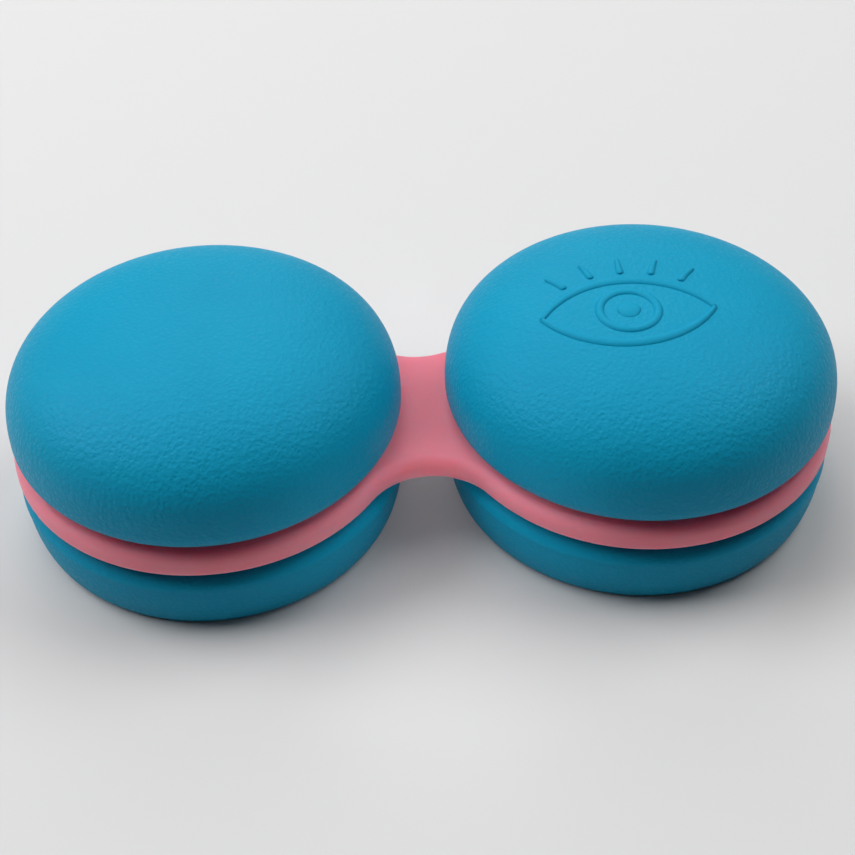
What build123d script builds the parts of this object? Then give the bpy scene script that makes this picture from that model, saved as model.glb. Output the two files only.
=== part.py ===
from build123d import *
from math import copysign, cos, pi, radians, sin
import os

# Two-well screw-cap contact lens case. All lengths are in millimetres.
# The case stands on z = 0, midway between its wells is the origin, x runs from the
# left well to the right well, and z is up.

# ----------------------------------------------------------------- driving dimensions

WELL_PITCH = 37.0

# pink tray: plate
PLATE_TOP = 8.8
PLATE_THICKNESS = 2.3
LOBE_RADIUS = 16.7
BRIDGE_HALF_WIDTH = 6.95
PLATE_EDGE_RADIUS = 0.8

# pink tray: wells and necks
NECK_TOP = 13.4
NECK_RADIUS = 11.2
LIP_ROUND = 0.3
WELL_MOUTH_RADIUS = 10.0
WELL_FLOOR_RADIUS = 9.2
WELL_FLOOR = 3.3
WELL_WALL = 1.3
WELL_FLOOR_FILLET = 4.0
WELL_RIB_COUNT = 12
WELL_RIB_WIDTH = 0.7
WELL_RIB_HEIGHT = 0.35
WELL_RIB_BOTTOM = 7.0
WELL_RIB_TOP = 11.0
WELL_RIB_RUNOUT = 0.6

# pink tray: collars that the lower shells snap on to
COLLAR_RADIUS = 13.6
COLLAR_WALL = 1.1
COLLAR_DEPTH = 1.9
SNAP_HEIGHT = 5.3
SNAP_RADIUS = 0.35
SNAP_PROUD = 0.2

# two-start right-hand thread between neck and closure
THREAD_STARTS = 2
THREAD_LEAD = 4.0
THREAD_TURNS = 0.6
THREAD_DEPTH = 0.8
THREAD_ROOT_WIDTH = 1.1
THREAD_CREST_WIDTH = 0.45
THREAD_SINK = 0.2
THREAD_RAMP = 14.0
THREAD_FLANK_GAP = 0.08
NECK_THREAD_START = 10.1
CLOSURE_THREAD_START = 9.8

# blue cap shells
CAP_RIM = 9.1
CAP_WIDEST = 10.9
CAP_RADIUS = 16.6
CAP_TUCK = 1.76
DOME_HEIGHT = 8.5
DOME_EXPONENT = 2.64
DOME_POINTS = 9
CAP_BORE_RADIUS = 14.1
CAP_CAVITY_START = 11.5
CAP_ROOF = 17.8
CAP_RIB_COUNT = 16
CAP_RIB_WIDTH = 1.0
CAP_RIB_BOTTOM = 10.1
CAP_RIB_TOP = 12.6
WELD_RING_INNER = 6.0
WELD_RING_OUTER = 7.0

# threaded closures inside the caps
CLOSURE_RADIUS = 13.3
CLOSURE_BORE_RADIUS = 12.2
CLOSURE_FLANGE_RADIUS = 14.05
CLOSURE_FLANGE_TOP = 9.9
CLOSURE_SHOULDER = 13.8
CLOSURE_CROWN_RADIUS = 11.7
CLOSURE_TOP = 15.6
CLOSURE_LEAD_IN = 0.3
CLOSURE_GROOVE_WIDTH = 1.1
CLOSURE_GROOVE_DEPTH = 0.4
CAP_RIB_CLEARANCE = 0.05

# silicone seals
SEAL_THICKNESS = 1.0
SEAL_RADIUS = 12.35
SEAL_GROOVE_RADIUS = 12.4
SEAL_LIP = 0.15
SEAL_PLUG_OUTER = 9.7
SEAL_PLUG_INNER = 8.9
SEAL_PLUG_DEPTH = 0.6
SEAL_RECESS = 0.3
SEAL_ROUND = 0.15

# blue lower shells
BASE_RADIUS = 16.65
BASE_WIDEST = 4.75
BASE_STEP = 0.1
BASE_FOOT_RADIUS = 15.25
BASE_TUCK = 1.4
BASE_RIM = 5.95
BASE_LAND_RADIUS = 14.6
BASE_BORE_RADIUS = 13.65
BASE_FLOOR = 1.5
BASE_FLOOR_FILLET = 1.0
BASE_RECESS_RADIUS = 12.6
BASE_RECESS_DEPTH = 0.3
BASE_GATE_RADIUS = 1.6
BASE_GATE_DEPTH = 0.25
BASE_RING_INNER = 3.6
BASE_RING_OUTER = 4.6

# raised eye pictogram on the right cap
EMBLEM_CENTRE = (-1.6, -1.5)
EMBLEM_HEIGHT = 0.2
EMBLEM_LINE = 0.6
EYE_WIDTH = 14.6
EYE_HEIGHT = 8.4
IRIS_RADIUS = 2.7
PUPIL_RADIUS = 1.1
LASH_COUNT = 5
LASH_SPREAD = 64.0
LASH_LENGTH = 1.9
LASH_GAP = 0.9

# ------------------------------------------------------------------- worked-out values

SIDES = (("left", -WELL_PITCH / 2), ("right", WELL_PITCH / 2))
PLATE_BOTTOM = PLATE_TOP - PLATE_THICKNESS
CAP_TOP = CAP_WIDEST + DOME_HEIGHT
SEAL_TOP = NECK_TOP + SEAL_THICKNESS
WELL_BOTTOM = WELL_FLOOR - WELL_WALL

# Height of a neck ridge's centre line above that of the closure ridge under it.
FLANK_SLOPE = (THREAD_ROOT_WIDTH - THREAD_CREST_WIDTH) / THREAD_DEPTH
FLANK_OVERLAP = CLOSURE_BORE_RADIUS - NECK_RADIUS
TOUCHING_OFFSET = THREAD_ROOT_WIDTH - FLANK_OVERLAP * FLANK_SLOPE / 2
THREAD_OFFSET = TOUCHING_OFFSET + THREAD_FLANK_GAP


def section_plane(x):
    """Upright plane through a well's axis at x; local x is radial and local y is height."""
    return Plane(origin=(x, 0, 0), x_dir=(1, 0, 0), z_dir=(0, -1, 0))


def well_axis(x):
    """Vertical axis of the well at x."""
    return Axis((x, 0, 0), (0, 0, 1))


def polar(radius, angle):
    """Point at a radius and an angle in degrees."""
    return (radius * cos(radians(angle)), radius * sin(radians(angle)))


def dome_curve(radius, base, height, count):
    """Superellipse quarter from its widest point (radius, base) up to its crown."""
    power = 2 / DOME_EXPONENT
    points = []
    for step in range(count):
        angle = step / (count - 1) * pi / 2
        points.append((radius * abs(cos(angle)) ** power, base + height * sin(angle) ** power))
    return points


def thread_ridge(wall_radius, crest_radius, start_height):
    """One right-hand thread ridge about the z axis, starting at angle 0 and ramped at both ends."""
    outward = copysign(1, crest_radius - wall_radius)
    sunk = -outward * THREAD_SINK
    sunk_half = (THREAD_ROOT_WIDTH + THREAD_SINK * FLANK_SLOPE) / 2
    crest_half = THREAD_CREST_WIDTH / 2
    crest = outward * THREAD_DEPTH
    arc = 360 * THREAD_TURNS
    beyond = crest_radius + outward * THREAD_DEPTH
    with BuildPart() as ridge:
        with BuildLine() as path:
            Helix(THREAD_LEAD, THREAD_LEAD * THREAD_TURNS, wall_radius, center=(0, 0, start_height))
        with BuildSketch(Plane(path.line @ 0, x_dir=(1, 0, 0), z_dir=path.line % 0)):
            with BuildLine():
                Polyline(
                    (sunk, -sunk_half),
                    (crest, -crest_half),
                    (crest, crest_half),
                    (sunk, sunk_half),
                    close=True,
                )
            make_face()
        sweep(path=path.line, is_frenet=True)
        for tip, inward in ((0, THREAD_RAMP), (arc, -THREAD_RAMP)):
            with BuildSketch(Plane.XY):
                with BuildLine():
                    Polyline(
                        polar(wall_radius, tip),
                        polar(crest_radius, tip + inward),
                        polar(beyond, tip + inward),
                        polar(beyond, tip - inward),
                        polar(wall_radius, tip - inward),
                        close=True,
                    )
                make_face()
            extrude(amount=CAP_TOP, mode=Mode.SUBTRACT)
    return ridge.part


# ------------------------------------------------------------------------------- tray
# One pink moulding: a figure-eight plate with two round-bottomed wells hanging in it,
# a threaded neck around each mouth, and a snap collar under each lobe.

# The waist arcs are tangent to both lobes.
half_pitch = WELL_PITCH / 2
waist_radius = (half_pitch**2 + BRIDGE_HALF_WIDTH**2 - LOBE_RADIUS**2) / (
    2 * (LOBE_RADIUS - BRIDGE_HALF_WIDTH)
)
waist_centre = BRIDGE_HALF_WIDTH + waist_radius
tangent_share = LOBE_RADIUS / (LOBE_RADIUS + waist_radius)
tangent_x = half_pitch * (1 - tangent_share)
tangent_y = waist_centre * tangent_share

well_rise = NECK_TOP - WELL_FLOOR


def well_radius(height):
    """Inner radius of the drafted well wall at a height."""
    share = (height - WELL_FLOOR) / well_rise
    return WELL_FLOOR_RADIUS + (WELL_MOUTH_RADIUS - WELL_FLOOR_RADIUS) * share


neck_thread = thread_ridge(NECK_RADIUS, NECK_RADIUS + THREAD_DEPTH, NECK_THREAD_START)

with BuildPart() as well_rib:
    with BuildSketch(Plane.XZ.offset(-WELL_RIB_WIDTH / 2)):
        with BuildLine():
            Polyline(
                (well_radius(WELL_RIB_BOTTOM) - WELL_RIB_HEIGHT, WELL_RIB_BOTTOM),
                (well_radius(WELL_RIB_TOP) - WELL_RIB_HEIGHT, WELL_RIB_TOP),
                (well_radius(WELL_RIB_TOP) + WELL_RIB_HEIGHT, WELL_RIB_TOP + 2 * WELL_RIB_RUNOUT),
                (well_radius(WELL_RIB_BOTTOM) + WELL_RIB_HEIGHT, WELL_RIB_BOTTOM - 2 * WELL_RIB_RUNOUT),
                close=True,
            )
        make_face()
    extrude(amount=WELL_RIB_WIDTH)

with BuildPart() as tray:
    with BuildSketch(Plane.XY.offset(PLATE_BOTTOM)):
        with Locations((-half_pitch, 0), (half_pitch, 0)):
            Circle(LOBE_RADIUS)
        Rectangle(2 * tangent_x, 2 * tangent_y)
        with Locations((0, -waist_centre), (0, waist_centre)):
            Circle(waist_radius, mode=Mode.SUBTRACT)
    extrude(amount=PLATE_THICKNESS)
    fillet(tray.edges().filter_by(Plane.XY), PLATE_EDGE_RADIUS)

    for side, x in SIDES:
        # outside of the bowl and the neck
        with BuildSketch(section_plane(x)) as bowl:
            with BuildLine():
                Polyline(
                    (0, WELL_BOTTOM),
                    (WELL_FLOOR_RADIUS + WELL_WALL, WELL_BOTTOM),
                    (NECK_RADIUS - LIP_ROUND, PLATE_TOP - PLATE_EDGE_RADIUS),
                    (NECK_RADIUS, PLATE_TOP),
                    (NECK_RADIUS, NECK_TOP),
                    (0, NECK_TOP),
                    close=True,
                )
            make_face()
            bowl_corner = bowl.vertices().group_by(Axis.Y)[0].sort_by(Axis.X)[-1]
            fillet(bowl_corner, WELL_FLOOR_FILLET + WELL_WALL)
            fillet(bowl.vertices().group_by(Axis.Y)[-1].sort_by(Axis.X)[-1], LIP_ROUND)
        revolve(axis=well_axis(x))

        # collar with its snap bead
        with BuildSketch(section_plane(x)):
            with Locations((COLLAR_RADIUS - COLLAR_WALL / 2, PLATE_BOTTOM - COLLAR_DEPTH / 2)):
                Rectangle(COLLAR_WALL, COLLAR_DEPTH)
            with Locations((COLLAR_RADIUS + SNAP_PROUD - SNAP_RADIUS, SNAP_HEIGHT)):
                Circle(SNAP_RADIUS)
        revolve(axis=well_axis(x))

    for side, x in SIDES:
        # inside of the well
        with BuildSketch(section_plane(x)) as hollow:
            with BuildLine():
                Polyline(
                    (0, WELL_FLOOR),
                    (WELL_FLOOR_RADIUS, WELL_FLOOR),
                    (WELL_MOUTH_RADIUS, NECK_TOP),
                    (0, NECK_TOP),
                    close=True,
                )
            make_face()
            fillet(hollow.vertices().group_by(Axis.Y)[0].sort_by(Axis.X)[-1], WELL_FLOOR_FILLET)
        revolve(axis=well_axis(x), mode=Mode.SUBTRACT)
        with Locations((x, 0, 0)):
            with PolarLocations(0, WELL_RIB_COUNT):
                add(well_rib.part)
            with PolarLocations(0, THREAD_STARTS):
                add(neck_thread)
tray.part.label = "tray"

# ----------------------------------------------------------------------- lower shells
# Blue cups that cover the wells. Each snaps on to a collar of the tray and carries the bowl
# of the well on a ring. A narrow land meets the plate's underside, and the rim around it is
# lower, which leaves a shadow gap below the plate.

base_shells = {}
for side, x in SIDES:
    with BuildPart() as base_shell:
        with BuildSketch(section_plane(x)) as wall:
            with BuildLine():
                Polyline((0, BASE_FLOOR), (0, 0), (BASE_FOOT_RADIUS, 0))
                EllipticalCenterArc(
                    (BASE_FOOT_RADIUS, BASE_WIDEST),
                    BASE_RADIUS - BASE_STEP - BASE_FOOT_RADIUS,
                    BASE_WIDEST,
                    start_angle=-90,
                    arc_size=90,
                )
                Line((BASE_RADIUS - BASE_STEP, BASE_WIDEST), (BASE_RADIUS, BASE_WIDEST))
                EllipticalCenterArc(
                    (BASE_RADIUS - BASE_TUCK, BASE_WIDEST),
                    BASE_TUCK,
                    BASE_RIM - BASE_WIDEST,
                    start_angle=0,
                    arc_size=90,
                )
                Polyline(
                    (BASE_RADIUS - BASE_TUCK, BASE_RIM),
                    (BASE_LAND_RADIUS, BASE_RIM),
                    (BASE_LAND_RADIUS, PLATE_BOTTOM),
                    (BASE_BORE_RADIUS, PLATE_BOTTOM),
                    (BASE_BORE_RADIUS, BASE_FLOOR),
                    (0, BASE_FLOOR),
                )
            make_face()
            inner_corner = wall.vertices().filter_by_position(Axis.Y, BASE_FLOOR, BASE_FLOOR)
            fillet(inner_corner.sort_by(Axis.X)[-1], BASE_FLOOR_FILLET)
            with Locations((BASE_BORE_RADIUS + SNAP_PROUD - SNAP_RADIUS, SNAP_HEIGHT)):
                Circle(SNAP_RADIUS, mode=Mode.SUBTRACT)
            with Locations(((BASE_RING_INNER + BASE_RING_OUTER) / 2, (BASE_FLOOR + WELL_BOTTOM) / 2)):
                Rectangle(BASE_RING_OUTER - BASE_RING_INNER, WELL_BOTTOM - BASE_FLOOR)
        revolve(axis=well_axis(x))
        with BuildSketch(Plane((x, 0, 0))):
            Circle(BASE_RECESS_RADIUS)
        extrude(amount=BASE_RECESS_DEPTH, mode=Mode.SUBTRACT)
        with BuildSketch(Plane((x, 0, BASE_RECESS_DEPTH))):
            Circle(BASE_GATE_RADIUS)
        extrude(amount=BASE_GATE_DEPTH, mode=Mode.SUBTRACT)
    base_shell.part.label = f"{side}_base_shell"
    base_shells[side] = base_shell

# ------------------------------------------------------------------------- cap shells
# Blue domes, tucked in at the rim. Ribs in the bore drive the closure, and a ring under
# the roof is welded to its disc.

outer_dome = dome_curve(CAP_RADIUS, CAP_WIDEST, DOME_HEIGHT, DOME_POINTS)
inner_dome = dome_curve(CAP_BORE_RADIUS, CAP_CAVITY_START, CAP_ROOF - CAP_CAVITY_START, DOME_POINTS)
cap_rib_inner = CLOSURE_RADIUS - CLOSURE_GROOVE_DEPTH + CAP_RIB_CLEARANCE
cap_rib_outer = CAP_BORE_RADIUS + CAP_RIB_CLEARANCE
cap_rib_depth = cap_rib_outer - cap_rib_inner
cap_rib_middle = (cap_rib_outer + cap_rib_inner) / 2
RISING = (0, 1)
LEVEL = (-1, 0)

cap_shells = {}
for side, x in SIDES:
    with BuildPart() as cap_shell:
        with BuildSketch(section_plane(x)):
            with BuildLine():
                EllipticalCenterArc(
                    (CAP_RADIUS - CAP_TUCK, CAP_WIDEST),
                    CAP_TUCK,
                    CAP_WIDEST - CAP_RIM,
                    start_angle=-90,
                    arc_size=90,
                )
                Spline(*outer_dome, tangents=(RISING, LEVEL))
                Line((0, CAP_TOP), (0, CAP_ROOF))
                Spline(*inner_dome, tangents=(RISING, LEVEL))
                Polyline(
                    (CAP_BORE_RADIUS, CAP_CAVITY_START),
                    (CAP_BORE_RADIUS, CAP_RIM),
                    (CAP_RADIUS - CAP_TUCK, CAP_RIM),
                )
            make_face()
        revolve(axis=well_axis(x))
        with BuildSketch(Plane((x, 0, CLOSURE_TOP))):
            Circle(WELD_RING_OUTER)
            Circle(WELD_RING_INNER, mode=Mode.SUBTRACT)
        extrude(amount=CAP_TOP - CLOSURE_TOP - (CAP_TOP - CAP_ROOF) / 2)
        with Locations((x, 0, (CAP_RIB_BOTTOM + CAP_RIB_TOP) / 2)):
            with PolarLocations(cap_rib_middle, CAP_RIB_COUNT):
                Box(cap_rib_depth, CAP_RIB_WIDTH, CAP_RIB_TOP - CAP_RIB_BOTTOM)
    cap_shell.part.label = f"{side}_cap_shell"
    cap_shells[side] = cap_shell

# -------------------------------------------------------------------------- pictogram
# Raised outline of an eye with an iris, a pupil and lashes on the right cap's crown.

right_x = WELL_PITCH / 2
lid_radius = (EYE_WIDTH**2 / 4 + EYE_HEIGHT**2 / 4) / EYE_HEIGHT
lid_centre = lid_radius - EYE_HEIGHT / 2

with BuildPart() as emblem:
    with BuildSketch(Plane((right_x + EMBLEM_CENTRE[0], EMBLEM_CENTRE[1], CAP_ROOF))) as eye:
        with Locations((0, -lid_centre)):
            Circle(lid_radius)
        with Locations((0, lid_centre)):
            Circle(lid_radius, mode=Mode.INTERSECT)
        offset(amount=-EMBLEM_LINE, mode=Mode.SUBTRACT)
        Circle(IRIS_RADIUS)
        Circle(IRIS_RADIUS - EMBLEM_LINE, mode=Mode.SUBTRACT)
        Circle(PUPIL_RADIUS)
        with Locations((0, -lid_centre)):
            with PolarLocations(
                lid_radius + LASH_GAP + LASH_LENGTH / 2,
                LASH_COUNT,
                start_angle=90 - LASH_SPREAD / 2,
                angular_range=LASH_SPREAD,
                endpoint=True,
            ):
                SlotOverall(LASH_LENGTH, EMBLEM_LINE)
    extrude(amount=CAP_TOP + EMBLEM_HEIGHT - CAP_ROOF)
    with BuildSketch(section_plane(right_x), mode=Mode.PRIVATE) as raised:
        with BuildLine():
            Spline(*[(r, z + EMBLEM_HEIGHT) for r, z in outer_dome], tangents=(RISING, LEVEL))
            Polyline(
                (0, CAP_TOP + EMBLEM_HEIGHT),
                (0, CAP_WIDEST + EMBLEM_HEIGHT),
                (CAP_RADIUS, CAP_WIDEST + EMBLEM_HEIGHT),
            )
        make_face()
    revolve(raised.sketch, axis=well_axis(right_x), mode=Mode.INTERSECT)

with cap_shells["right"]:
    add(emblem.part)

# --------------------------------------------------------------------------- closures
# Threaded liners inside the caps, with a groove for the seal and slots for the cap's ribs.

closure_thread = thread_ridge(
    CLOSURE_BORE_RADIUS, CLOSURE_BORE_RADIUS - THREAD_DEPTH, CLOSURE_THREAD_START
)
rise_from_neck_start = CLOSURE_THREAD_START - (NECK_THREAD_START - THREAD_OFFSET)
closure_thread_angle = 360 * rise_from_neck_start / THREAD_LEAD
groove_bottom = CLOSURE_FLANGE_TOP
groove_middle = CLOSURE_RADIUS - CLOSURE_GROOVE_DEPTH / 2

closures = {}
for side, x in SIDES:
    with BuildPart() as closure:
        with BuildSketch(section_plane(x)):
            with BuildLine():
                Polyline(
                    (CLOSURE_BORE_RADIUS, CAP_RIM + CLOSURE_LEAD_IN),
                    (CLOSURE_BORE_RADIUS + CLOSURE_LEAD_IN, CAP_RIM),
                    (CLOSURE_FLANGE_RADIUS, CAP_RIM),
                    (CLOSURE_FLANGE_RADIUS, CLOSURE_FLANGE_TOP),
                    (CLOSURE_RADIUS, CLOSURE_FLANGE_TOP),
                    (CLOSURE_RADIUS, CLOSURE_SHOULDER),
                    (CLOSURE_CROWN_RADIUS, CLOSURE_TOP),
                    (0, CLOSURE_TOP),
                    (0, SEAL_TOP),
                    (SEAL_GROOVE_RADIUS, SEAL_TOP),
                    (SEAL_GROOVE_RADIUS, NECK_TOP),
                    (CLOSURE_BORE_RADIUS, NECK_TOP - SEAL_LIP),
                    close=True,
                )
            make_face()
        revolve(axis=well_axis(x))
        with Locations((x, 0, (groove_bottom + CLOSURE_SHOULDER) / 2)):
            with PolarLocations(groove_middle, CAP_RIB_COUNT):
                Box(
                    CLOSURE_GROOVE_DEPTH,
                    CLOSURE_GROOVE_WIDTH,
                    CLOSURE_SHOULDER - groove_bottom,
                    mode=Mode.SUBTRACT,
                )
        with Locations((x, 0, 0)):
            with PolarLocations(0, THREAD_STARTS, start_angle=closure_thread_angle):
                add(closure_thread)
    closure.part.label = f"{side}_closure"
    closures[side] = closure

# ------------------------------------------------------------------------------ seals
# Soft discs held in the closures. A ring on the underside plugs the mouth of the well.

seals = {}
for side, x in SIDES:
    with BuildPart() as seal:
        with BuildSketch(section_plane(x)) as disc:
            with BuildLine():
                Polyline(
                    (0, NECK_TOP + SEAL_RECESS),
                    (SEAL_PLUG_INNER, NECK_TOP + SEAL_RECESS),
                    (SEAL_PLUG_INNER, NECK_TOP - SEAL_PLUG_DEPTH),
                    (SEAL_PLUG_OUTER, NECK_TOP - SEAL_PLUG_DEPTH),
                    (SEAL_PLUG_OUTER, NECK_TOP),
                    (SEAL_RADIUS, NECK_TOP),
                    (SEAL_RADIUS, SEAL_TOP),
                    (0, SEAL_TOP),
                    close=True,
                )
            make_face()
            fillet(disc.vertices().group_by(Axis.Y)[0], SEAL_ROUND)
            fillet(disc.vertices().group_by(Axis.X)[-1], SEAL_ROUND)
        revolve(axis=well_axis(x))
    seal.part.label = f"{side}_seal"
    seals[side] = seal

# ------------------------------------------------------------------------------ export

os.makedirs("parts", exist_ok=True)
export_step(tray.part, "parts/tray.step")
for side, x in SIDES:
    export_step(base_shells[side].part, f"parts/{side}_base_shell.step")
    export_step(cap_shells[side].part, f"parts/{side}_cap_shell.step")
    export_step(closures[side].part, f"parts/{side}_closure.step")
    export_step(seals[side].part, f"parts/{side}_seal.step")
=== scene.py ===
"""Contact lens case: looks, floor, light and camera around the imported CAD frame."""

import math

import bmesh
import bpy
from mathutils import Matrix, Vector


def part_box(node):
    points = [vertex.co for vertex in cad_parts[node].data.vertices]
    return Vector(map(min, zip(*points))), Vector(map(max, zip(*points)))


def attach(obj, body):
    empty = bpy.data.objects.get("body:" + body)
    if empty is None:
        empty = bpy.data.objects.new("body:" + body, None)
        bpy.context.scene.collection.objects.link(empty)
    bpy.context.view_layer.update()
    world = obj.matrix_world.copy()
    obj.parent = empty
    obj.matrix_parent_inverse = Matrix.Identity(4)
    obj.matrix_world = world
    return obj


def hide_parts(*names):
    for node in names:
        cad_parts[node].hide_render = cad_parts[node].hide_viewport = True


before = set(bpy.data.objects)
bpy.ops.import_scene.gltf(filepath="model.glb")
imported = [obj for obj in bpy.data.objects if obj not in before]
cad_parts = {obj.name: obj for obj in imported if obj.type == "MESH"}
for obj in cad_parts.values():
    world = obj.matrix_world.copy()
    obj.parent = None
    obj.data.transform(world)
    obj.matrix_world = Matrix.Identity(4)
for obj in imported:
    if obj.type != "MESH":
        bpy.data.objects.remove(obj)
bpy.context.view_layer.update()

MM = 0.001
ON_AXIS = 1e-9
SIDES = ("left", "right")


def centre_of(node):
    """Middle of a CAD node's box."""
    low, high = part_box(node)
    return (low + high) / 2


# ---------------------------------------------------------------------- mesh helpers


def new_object(name, bm, smooth=True):
    """Turns a bmesh into a linked object with outward normals."""
    bmesh.ops.recalc_face_normals(bm, faces=bm.faces)
    mesh = bpy.data.meshes.new(name)
    bm.to_mesh(mesh)
    bm.free()
    for polygon in mesh.polygons:
        polygon.use_smooth = smooth
    obj = bpy.data.objects.new(name, mesh)
    bpy.context.scene.collection.objects.link(obj)
    return obj


def arc(centre, radii, start, end, steps):
    """Points of an elliptical arc, angles in degrees."""
    points = []
    for step in range(steps + 1):
        angle = math.radians(start + (end - start) * step / steps)
        points.append((centre[0] + radii[0] * math.cos(angle), centre[1] + radii[1] * math.sin(angle)))
    return points


def revolved(name, outline, centre, segments):
    """Solid of revolution of a closed outline (r, z) about the upright axis through centre."""
    bm = bmesh.new()
    rings = []
    for r, z in outline:
        if r < ON_AXIS:
            rings.append([bm.verts.new((centre.x, centre.y, z))])
            continue
        ring = []
        for step in range(segments):
            angle = 2 * math.pi * step / segments
            ring.append(bm.verts.new((centre.x + r * math.cos(angle), centre.y + r * math.sin(angle), z)))
        rings.append(ring)
    for index, ring in enumerate(rings):
        following = rings[(index + 1) % len(rings)]
        if len(ring) == 1 and len(following) == 1:
            continue
        for step in range(segments):
            after = (step + 1) % segments
            if len(ring) == 1:
                bm.faces.new((ring[0], following[after], following[step]))
            elif len(following) == 1:
                bm.faces.new((ring[step], ring[after], following[0]))
            else:
                bm.faces.new((ring[step], ring[after], following[after], following[step]))
    return new_object(name, bm)


# ------------------------------------------------------------------------- materials


# A Mix node's colour sockets share their names with its number sockets, so they go by place.
MIX_FIRST = 6
MIX_SECOND = 7
MIX_RESULT = 2

# Noise and cells mostly stay between these values.
TEXTURE_LOW = 0.3
TEXTURE_HIGH = 0.7

CLOUD_SIZE = 7 * MM
PEEL_SIZE = 2.2 * MM
ROUGHNESS_SPREAD = 0.09


class Nodes:
    """Short way to build one material's node tree."""

    def __init__(self, name):
        self.material = bpy.data.materials.new(name)
        self.material.use_nodes = True
        self.tree = self.material.node_tree
        self.shader = self.tree.nodes["Principled BSDF"]
        self.coordinates = self.tree.nodes.new("ShaderNodeTexCoord").outputs["Object"]

    def add(self, kind, inputs=None, **settings):
        """Adds a node. Inputs given as sockets are linked, and the rest are set as values."""
        node = self.tree.nodes.new(kind)
        for key, value in settings.items():
            setattr(node, key, value)
        for key, value in (inputs or {}).items():
            if isinstance(value, bpy.types.NodeSocket):
                self.tree.links.new(value, node.inputs[key])
            else:
                node.inputs[key].default_value = value
        return node

    def noise(self, size, detail=2.0):
        """Cloudy noise with features of the given size."""
        values = {"Vector": self.coordinates, "Scale": 1 / size, "Detail": detail}
        return self.add("ShaderNodeTexNoise", values).outputs["Fac"]

    def pebbles(self, size):
        """Rounded cells of the given size, low in their middles, like spark-eroded tooling."""
        values = {"Vector": self.coordinates, "Scale": 1 / size, "Smoothness": 0.6, "Detail": 1.0}
        return self.add("ShaderNodeTexVoronoi", values, feature="SMOOTH_F1").outputs["Distance"]

    def spread(self, value, low, high):
        """Texture value stretched to run from low to high."""
        values = {"Value": value, "From Min": TEXTURE_LOW, "From Max": TEXTURE_HIGH}
        values |= {"To Min": low, "To Max": high}
        return self.add("ShaderNodeMapRange", values).outputs["Result"]

    def bump(self, height, distance, under=None):
        """Surface raised by height times distance, on top of another bump if there is one."""
        values = {"Height": height, "Distance": distance, "Strength": 1.0}
        if under is not None:
            values["Normal"] = under
        return self.add("ShaderNodeBump", values).outputs["Normal"]

    def mix(self, factor, first, second):
        """Blend from the first colour to the second."""
        colours = {MIX_FIRST: first + (1,), MIX_SECOND: second + (1,)}
        node = self.add("ShaderNodeMix", {"Factor": factor} | colours, data_type="RGBA")
        return node.outputs[MIX_RESULT]

    def link(self, output, name):
        """Links an output to the shader's input of that name."""
        self.tree.links.new(output, self.shader.inputs[name])

    def set(self, **values):
        """Sets the shader's inputs, with an underscore for each space in their names."""
        for key, value in values.items():
            self.shader.inputs[key.replace("_", " ")].default_value = value


def moulded_plastic(name, colour, deeper, roughness, grain_size, grain_height, peel_height):
    """Moulded plastic: clouded colour, spark-eroded grain, and a gentle unevenness under it."""
    nodes = Nodes(name)
    cloud = nodes.noise(CLOUD_SIZE, detail=3)
    nodes.link(nodes.mix(nodes.spread(cloud, 0, 1), deeper, colour), "Base Color")
    grain = nodes.pebbles(grain_size * MM)
    peel = nodes.noise(PEEL_SIZE)
    shine = nodes.spread(grain, roughness - ROUGHNESS_SPREAD, roughness + ROUGHNESS_SPREAD)
    nodes.link(shine, "Roughness")
    under = nodes.bump(peel, peel_height * MM)
    nodes.link(nodes.bump(grain, grain_height * MM, under), "Normal")
    return nodes


def blue_plastic(name, roughness, grain_size, grain_height, peel_height):
    """Opaque blue plastic with a faintly blue sheen from the pigment at its surface."""
    nodes = moulded_plastic(name, BLUE, BLUE_DEEPER, roughness, grain_size, grain_height, peel_height)
    nodes.set(Specular_IOR_Level=0.30, Specular_Tint=BLUE_SHEEN + (1,))
    return nodes.material


def pink_plastic(name):
    """Satin pink plastic that lets light glow through its thin edges."""
    nodes = moulded_plastic(
        name, PINK, PINK_DEEPER, roughness=0.42, grain_size=0.50, grain_height=0.005, peel_height=0.03
    )
    nodes.set(Specular_IOR_Level=0.12, Subsurface_Weight=1.0, Subsurface_Scale=1.0)
    nodes.set(Subsurface_Radius=(3.6 * MM, 0.5 * MM, 0.6 * MM))
    return nodes.material


def silicone(name):
    """Milky translucent silicone."""
    nodes = Nodes(name)
    cloud = nodes.noise(3 * MM)
    nodes.link(nodes.spread(cloud, 0.36, 0.46), "Roughness")
    nodes.link(nodes.bump(cloud, 0.01 * MM), "Normal")
    nodes.set(Base_Color=(0.80, 0.84, 0.85, 1), Transmission_Weight=0.35, IOR=1.41)
    nodes.set(Subsurface_Weight=0.3, Subsurface_Scale=1.0, Subsurface_Radius=(MM, MM, MM))
    return nodes.material


BLUE = (0.003, 0.279, 0.445)
BLUE_DEEPER = (0.003, 0.264, 0.427)
BLUE_SHEEN = (0.20, 0.40, 1.00)
PINK = (0.96, 0.262, 0.330)
PINK_DEEPER = (0.94, 0.247, 0.315)

# Roughness, then grain size, grain height and the height of the unevenness, in millimetres.
CAP_PLASTIC = blue_plastic("cap_plastic", 0.47, 0.40, 0.048, 0.03)
PICTOGRAM_PLASTIC = blue_plastic("pictogram_plastic", 0.50, 0.36, 0.012, 0.03)
BASE_PLASTIC = blue_plastic("base_plastic", 0.52, 0.36, 0.032, 0.03)
CLOSURE_PLASTIC = blue_plastic("closure_plastic", 0.38, 0.60, 0.004, 0.02)
TRAY_PLASTIC = pink_plastic("tray_plastic")
SILICONE = silicone("seal_silicone")


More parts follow.
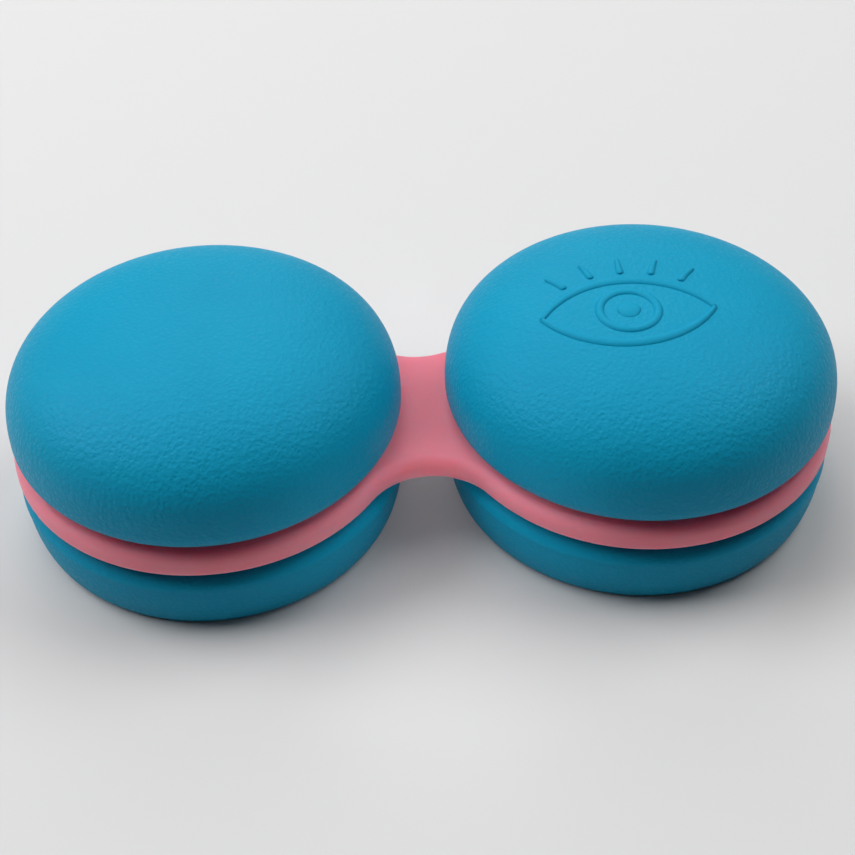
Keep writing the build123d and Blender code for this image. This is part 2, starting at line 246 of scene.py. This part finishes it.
def paint(obj, material):
    """Gives an object one material in place of any it has."""
    if not obj.material_slots:
        obj.data.materials.append(material)
    for slot in obj.material_slots:
        slot.material = material


# ------------------------------------------------------------------------ cap shells
# Profile sizes as in the CAD model, in millimetres, then how finely the mesh follows them.

CAP_RADIUS = 16.6
CAP_RIM = 9.1
CAP_WIDEST = 10.9
CAP_TUCK = 1.76
DOME_HEIGHT = 8.5
DOME_EXPONENT = 2.64
CAP_BORE_RADIUS = 14.1
CAP_CAVITY_START = 11.5
CAP_ROOF = 17.8
RIM_CHAMFER = 0.15
CAP_SEGMENTS = 256
TUCK_STEPS = 14
SHOULDER_STEPS = 40
SHOULDER_END = 50.0
CROWN_STEPS = 30
INSIDE_STEPS = 24


def dome(radius, base, height, radii):
    """Superellipse quarter (r, z) sampled at the given radii."""
    points = []
    for r in radii:
        share = max(0.0, 1 - (r / radius) ** DOME_EXPONENT)
        points.append((r, base + height * share ** (1 / DOME_EXPONENT)))
    return points


def dome_by_angle(radius, base, height, end, steps):
    """Superellipse points (r, z) from the widest point up to a parameter angle in degrees."""
    power = 2 / DOME_EXPONENT
    points = []
    for step in range(steps + 1):
        angle = math.radians(end * step / steps)
        r = radius * max(0.0, math.cos(angle)) ** power
        points.append((r, base + height * math.sin(angle) ** power))
    return points


def cap_outline():
    """Closed outline of a cap shell."""
    flat = CAP_RADIUS - CAP_TUCK
    points = arc((flat, CAP_WIDEST), (CAP_TUCK, CAP_WIDEST - CAP_RIM), -90, 0, TUCK_STEPS)[:-1]
    points += dome_by_angle(CAP_RADIUS, CAP_WIDEST, DOME_HEIGHT, SHOULDER_END, SHOULDER_STEPS)
    crown_radius = points[-1][0]
    radii = [crown_radius * (1 - step / CROWN_STEPS) for step in range(1, CROWN_STEPS + 1)]
    points += dome(CAP_RADIUS, CAP_WIDEST, DOME_HEIGHT, radii)
    cavity_height = CAP_ROOF - CAP_CAVITY_START
    points += reversed(dome_by_angle(CAP_BORE_RADIUS, CAP_CAVITY_START, cavity_height, 90, INSIDE_STEPS))
    points += [(CAP_BORE_RADIUS, CAP_RIM + RIM_CHAMFER), (CAP_BORE_RADIUS + RIM_CHAMFER, CAP_RIM)]
    return [(r * MM, z * MM) for r, z in points]


def make_cap_shell(side):
    """Smooth cap shell in place of the CAD one."""
    node = f"{side}_cap_shell"
    shell = revolved(f"{side}_cap_skin", cap_outline(), centre_of(node), CAP_SEGMENTS)
    paint(shell, CAP_PLASTIC)
    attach(shell, f"{side}_cap")
    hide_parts(node)


for side in SIDES:
    make_cap_shell(side)

# -------------------------------------------------------------------- eye pictogram
# Raised strokes on the crown of the right cap, in millimetres from the cap's axis.

EMBLEM_CENTRE = Vector((-1.6, -1.5))
EMBLEM_HEIGHT = 0.2
EMBLEM_SINK = 0.1
EYE_WIDTH = 14.2
EYE_HEIGHT = 7.8
LID_ENDS = 0.45
LID_MIDDLE = 0.95
IRIS_RADIUS = 2.4
IRIS_LINE = 0.75
PUPIL_RADIUS = 0.95
LASH_COUNT = 5
LASH_SPREAD = 62.0
LASH_LENGTH = 2.3
LASH_WIDTH = 0.72
LASH_TAPER = 0.45
LASH_GAP = 0.9
LASH_BEND = 0.35
NARROWEST = 0.08
SECTION_FULLNESS = 0.75
SECTION_STEPS = 12
LID_STEPS = 96
IRIS_STEPS = 72
STROKE_STEPS = 24


def crown_height(place):
    """Height of the cap's outer face at a place measured from its axis."""
    share = 1 - (place.length / CAP_RADIUS) ** DOME_EXPONENT
    return CAP_WIDEST + DOME_HEIGHT * share ** (1 / DOME_EXPONENT)


def add_stroke(bm, centre, path, widths, rises, closed=False):
    """Raised stroke along path, with a full rounded section and a width and a rise at each point."""
    rings = []
    count = len(path)
    for index, place in enumerate(path):
        before = path[index - 1] if closed or index else place
        after = path[(index + 1) % count] if closed or index + 1 < count else place
        along = (after - before).normalized()
        section = [(-1.0, -EMBLEM_SINK)]
        for step in range(SECTION_STEPS + 1):
            across = -math.cos(math.pi * step / SECTION_STEPS)
            section.append((across, EMBLEM_HEIGHT * rises[index] * (1 - across**2) ** SECTION_FULLNESS))
        section.append((1.0, -EMBLEM_SINK))
        ring = []
        for across, rise in section:
            spot = place + Vector((-along.y, along.x)) * across * widths[index] / 2
            height = crown_height(spot) + rise
            ring.append(bm.verts.new((centre.x + spot.x * MM, centre.y + spot.y * MM, height * MM)))
        rings.append(ring)
    for index in range(count if closed else count - 1):
        ring = rings[index]
        following = rings[(index + 1) % count]
        for step in range(len(ring)):
            after = (step + 1) % len(ring)
            bm.faces.new((ring[step], ring[after], following[after], following[step]))
    if not closed:
        bm.faces.new(rings[0])
        bm.faces.new(rings[-1])


def round_ends(shares, length, width):
    """How full a stroke is at each share of its length, for ends as round as it is wide."""
    full = []
    for share in shares:
        from_end = min(share, 1 - share) * length
        short = max(0.0, 1 - 2 * from_end / width)
        full.append(max(NARROWEST, math.sqrt(1 - short**2)))
    return full


def circle(middle, radius, steps):
    """Places around a circle."""
    turns = [2 * math.pi * step / steps for step in range(steps)]
    return [middle + Vector((math.cos(turn), math.sin(turn))) * radius for turn in turns]


def make_pictogram():
    """Eye with lashes, in place of the lettering on the real cap."""
    bm = bmesh.new()
    centre = centre_of("right_cap_shell")
    lid_radius = (EYE_WIDTH**2 / 4 + EYE_HEIGHT**2 / 4) / EYE_HEIGHT
    lid_drop = lid_radius - EYE_HEIGHT / 2
    half_turn = math.asin(EYE_WIDTH / 2 / lid_radius)
    shares = [step / LID_STEPS for step in range(LID_STEPS + 1)]
    widths = [LID_ENDS + (LID_MIDDLE - LID_ENDS) * math.sin(math.pi * share) for share in shares]
    for sign in (1, -1):
        path = []
        for share in shares:
            turn = half_turn * (2 * share - 1)
            spot = Vector((math.sin(turn) * lid_radius, sign * (math.cos(turn) * lid_radius - lid_drop)))
            path.append(EMBLEM_CENTRE + spot)
        add_stroke(bm, centre, path, widths, [1.0] * len(path))

    iris = circle(EMBLEM_CENTRE, IRIS_RADIUS, IRIS_STEPS)
    add_stroke(bm, centre, iris, [IRIS_LINE] * len(iris), [1.0] * len(iris), closed=True)

    shares = [(1 - math.cos(math.pi * step / STROKE_STEPS)) / 2 for step in range(STROKE_STEPS + 1)]
    full = round_ends(shares, 2 * PUPIL_RADIUS, 2 * PUPIL_RADIUS)
    path = [EMBLEM_CENTRE + Vector(((2 * share - 1) * PUPIL_RADIUS, 0)) for share in shares]
    add_stroke(bm, centre, path, [2 * PUPIL_RADIUS * part for part in full], [part**0.5 for part in full])

    full = round_ends(shares, LASH_LENGTH, LASH_WIDTH)
    for index in range(LASH_COUNT):
        lean = index / (LASH_COUNT - 1) - 0.5
        turn = math.radians(90 - LASH_SPREAD * lean)
        outward = Vector((math.cos(turn), math.sin(turn)))
        path = []
        for share in shares:
            bend = LASH_BEND * 2 * lean * share**2
            spot = outward * (lid_radius + LASH_GAP + LASH_LENGTH * share) - Vector((0, lid_drop))
            path.append(EMBLEM_CENTRE + spot + Vector((outward.y, -outward.x)) * bend)
        widths = [LASH_WIDTH * (1 - LASH_TAPER * share) * part for share, part in zip(shares, full)]
        add_stroke(bm, centre, path, widths, [part**0.5 for part in full])

    pictogram = new_object("right_cap_pictogram", bm)
    paint(pictogram, PICTOGRAM_PLASTIC)
    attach(pictogram, "right_cap")


make_pictogram()

# ---------------------------------------------------------------- carried-over pieces

for side in SIDES:
    paint(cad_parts[f"{side}_base_shell"], BASE_PLASTIC)
    paint(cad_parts[f"{side}_closure"], CLOSURE_PLASTIC)
    paint(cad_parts[f"{side}_seal"], SILICONE)
paint(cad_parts["tray"], TRAY_PLASTIC)

# ------------------------------------------------------------- floor, light and camera

CAMERA_AZIMUTH = -2.52
CAMERA_ELEVATION = 42.88
CAMERA_ROLL = -1.39
CAMERA_DISTANCE = 144.99 * MM
CAMERA_ACROSS = 0.1802 * MM
CAMERA_UP = 4.4879 * MM
CAMERA_LENS = 67.743
CAMERA_SENSOR = 36.0
FLOOR_HALF_SIZE = 1.5
LIGHT_DISTANCE = 0.6
SNOOT_DISTANCE = 0.3
SNOOT_HALF_ANGLE = 1.9
SNOOT_RADIUS = 10 * MM
SNOOT_AIM = (0, -11.5, 4.5)


def add_floor():
    """Pale paper floor under the case."""
    bm = bmesh.new()
    bmesh.ops.create_grid(bm, x_segments=1, y_segments=1, size=FLOOR_HALF_SIZE)
    floor = new_object("floor", bm, smooth=False)
    nodes = Nodes("floor_paper")
    cloud = nodes.noise(60 * MM)
    nodes.link(nodes.spread(cloud, 0.85, 0.95), "Roughness")
    nodes.set(Base_Color=(0.63, 0.63, 0.63, 1), Specular_IOR_Level=0.1)
    paint(floor, nodes.material)


def add_softbox(name, azimuth, elevation, width, power):
    """Round soft light aimed at the object; azimuth 0 is straight behind it, 90 is to its right."""
    light = bpy.data.lights.new(name, "AREA")
    light.shape = "DISK"
    light.size = width
    light.energy = power
    bearing = math.radians(azimuth)
    height = math.radians(elevation)
    outward = Vector(
        (
            math.sin(bearing) * math.cos(height),
            math.cos(bearing) * math.cos(height),
            math.sin(height),
        )
    )
    obj = bpy.data.objects.new(name, light)
    obj.location = outward * LIGHT_DISTANCE
    obj.rotation_euler = outward.to_track_quat("Z", "Y").to_euler()
    bpy.context.scene.collection.objects.link(obj)


def add_snoot(name, elevation, power):
    """Narrow soft beam from the front on to the bridge and the floor below it."""
    light = bpy.data.lights.new(name, "SPOT")
    light.energy = power
    light.spot_size = math.radians(2 * SNOOT_HALF_ANGLE)
    light.spot_blend = 1.0
    light.shadow_soft_size = SNOOT_RADIUS
    height = math.radians(elevation)
    outward = Vector((0, -math.cos(height), math.sin(height)))
    obj = bpy.data.objects.new(name, light)
    obj.location = Vector(SNOOT_AIM) * MM + outward * SNOOT_DISTANCE
    obj.rotation_euler = outward.to_track_quat("Z", "Y").to_euler()
    bpy.context.scene.collection.objects.link(obj)


def add_world(strength):
    """Even white light from all around."""
    world = bpy.data.worlds.new("studio")
    world.use_nodes = True
    background = world.node_tree.nodes["Background"]
    background.inputs["Color"].default_value = (1, 1, 1, 1)
    background.inputs["Strength"].default_value = strength
    bpy.context.scene.world = world


def add_camera():
    """Camera at the photograph's viewing angle, with its lens and framing."""
    azimuth = math.radians(CAMERA_AZIMUTH)
    elevation = math.radians(CAMERA_ELEVATION)
    roll = math.radians(CAMERA_ROLL)
    back = Vector(
        (
            math.sin(azimuth) * math.cos(elevation),
            -math.cos(azimuth) * math.cos(elevation),
            math.sin(elevation),
        )
    )
    right = Vector((math.cos(azimuth), math.sin(azimuth), 0))
    up = back.cross(right)
    rolled_right = math.cos(roll) * right + math.sin(roll) * up
    rolled_up = math.cos(roll) * up - math.sin(roll) * right
    place = back * CAMERA_DISTANCE + rolled_right * CAMERA_ACROSS + rolled_up * CAMERA_UP
    camera = bpy.data.cameras.new("camera")
    camera.sensor_width = CAMERA_SENSOR
    camera.lens = CAMERA_LENS
    camera.clip_start = 0.01
    camera.clip_end = 10
    obj = bpy.data.objects.new("camera", camera)
    turned = Matrix((rolled_right, rolled_up, back)).transposed()
    obj.matrix_world = Matrix.Translation(place) @ turned.to_4x4()
    bpy.context.scene.collection.objects.link(obj)
    bpy.context.scene.camera = obj


add_floor()
add_world(0.02)
add_softbox("left", -79, 44, 0.40, 2.15)
add_softbox("back_left", -45, 70, 0.45, 1.50)
add_softbox("right", 68, 53, 0.42, 1.68)
add_softbox("back", 0, 38, 0.40, 0.72)
add_softbox("front", 180, 62, 0.40, 0.08)
add_snoot("bridge_fill", 28, 2.3)
add_camera()
bpy.context.scene.view_settings.view_transform = "Standard"
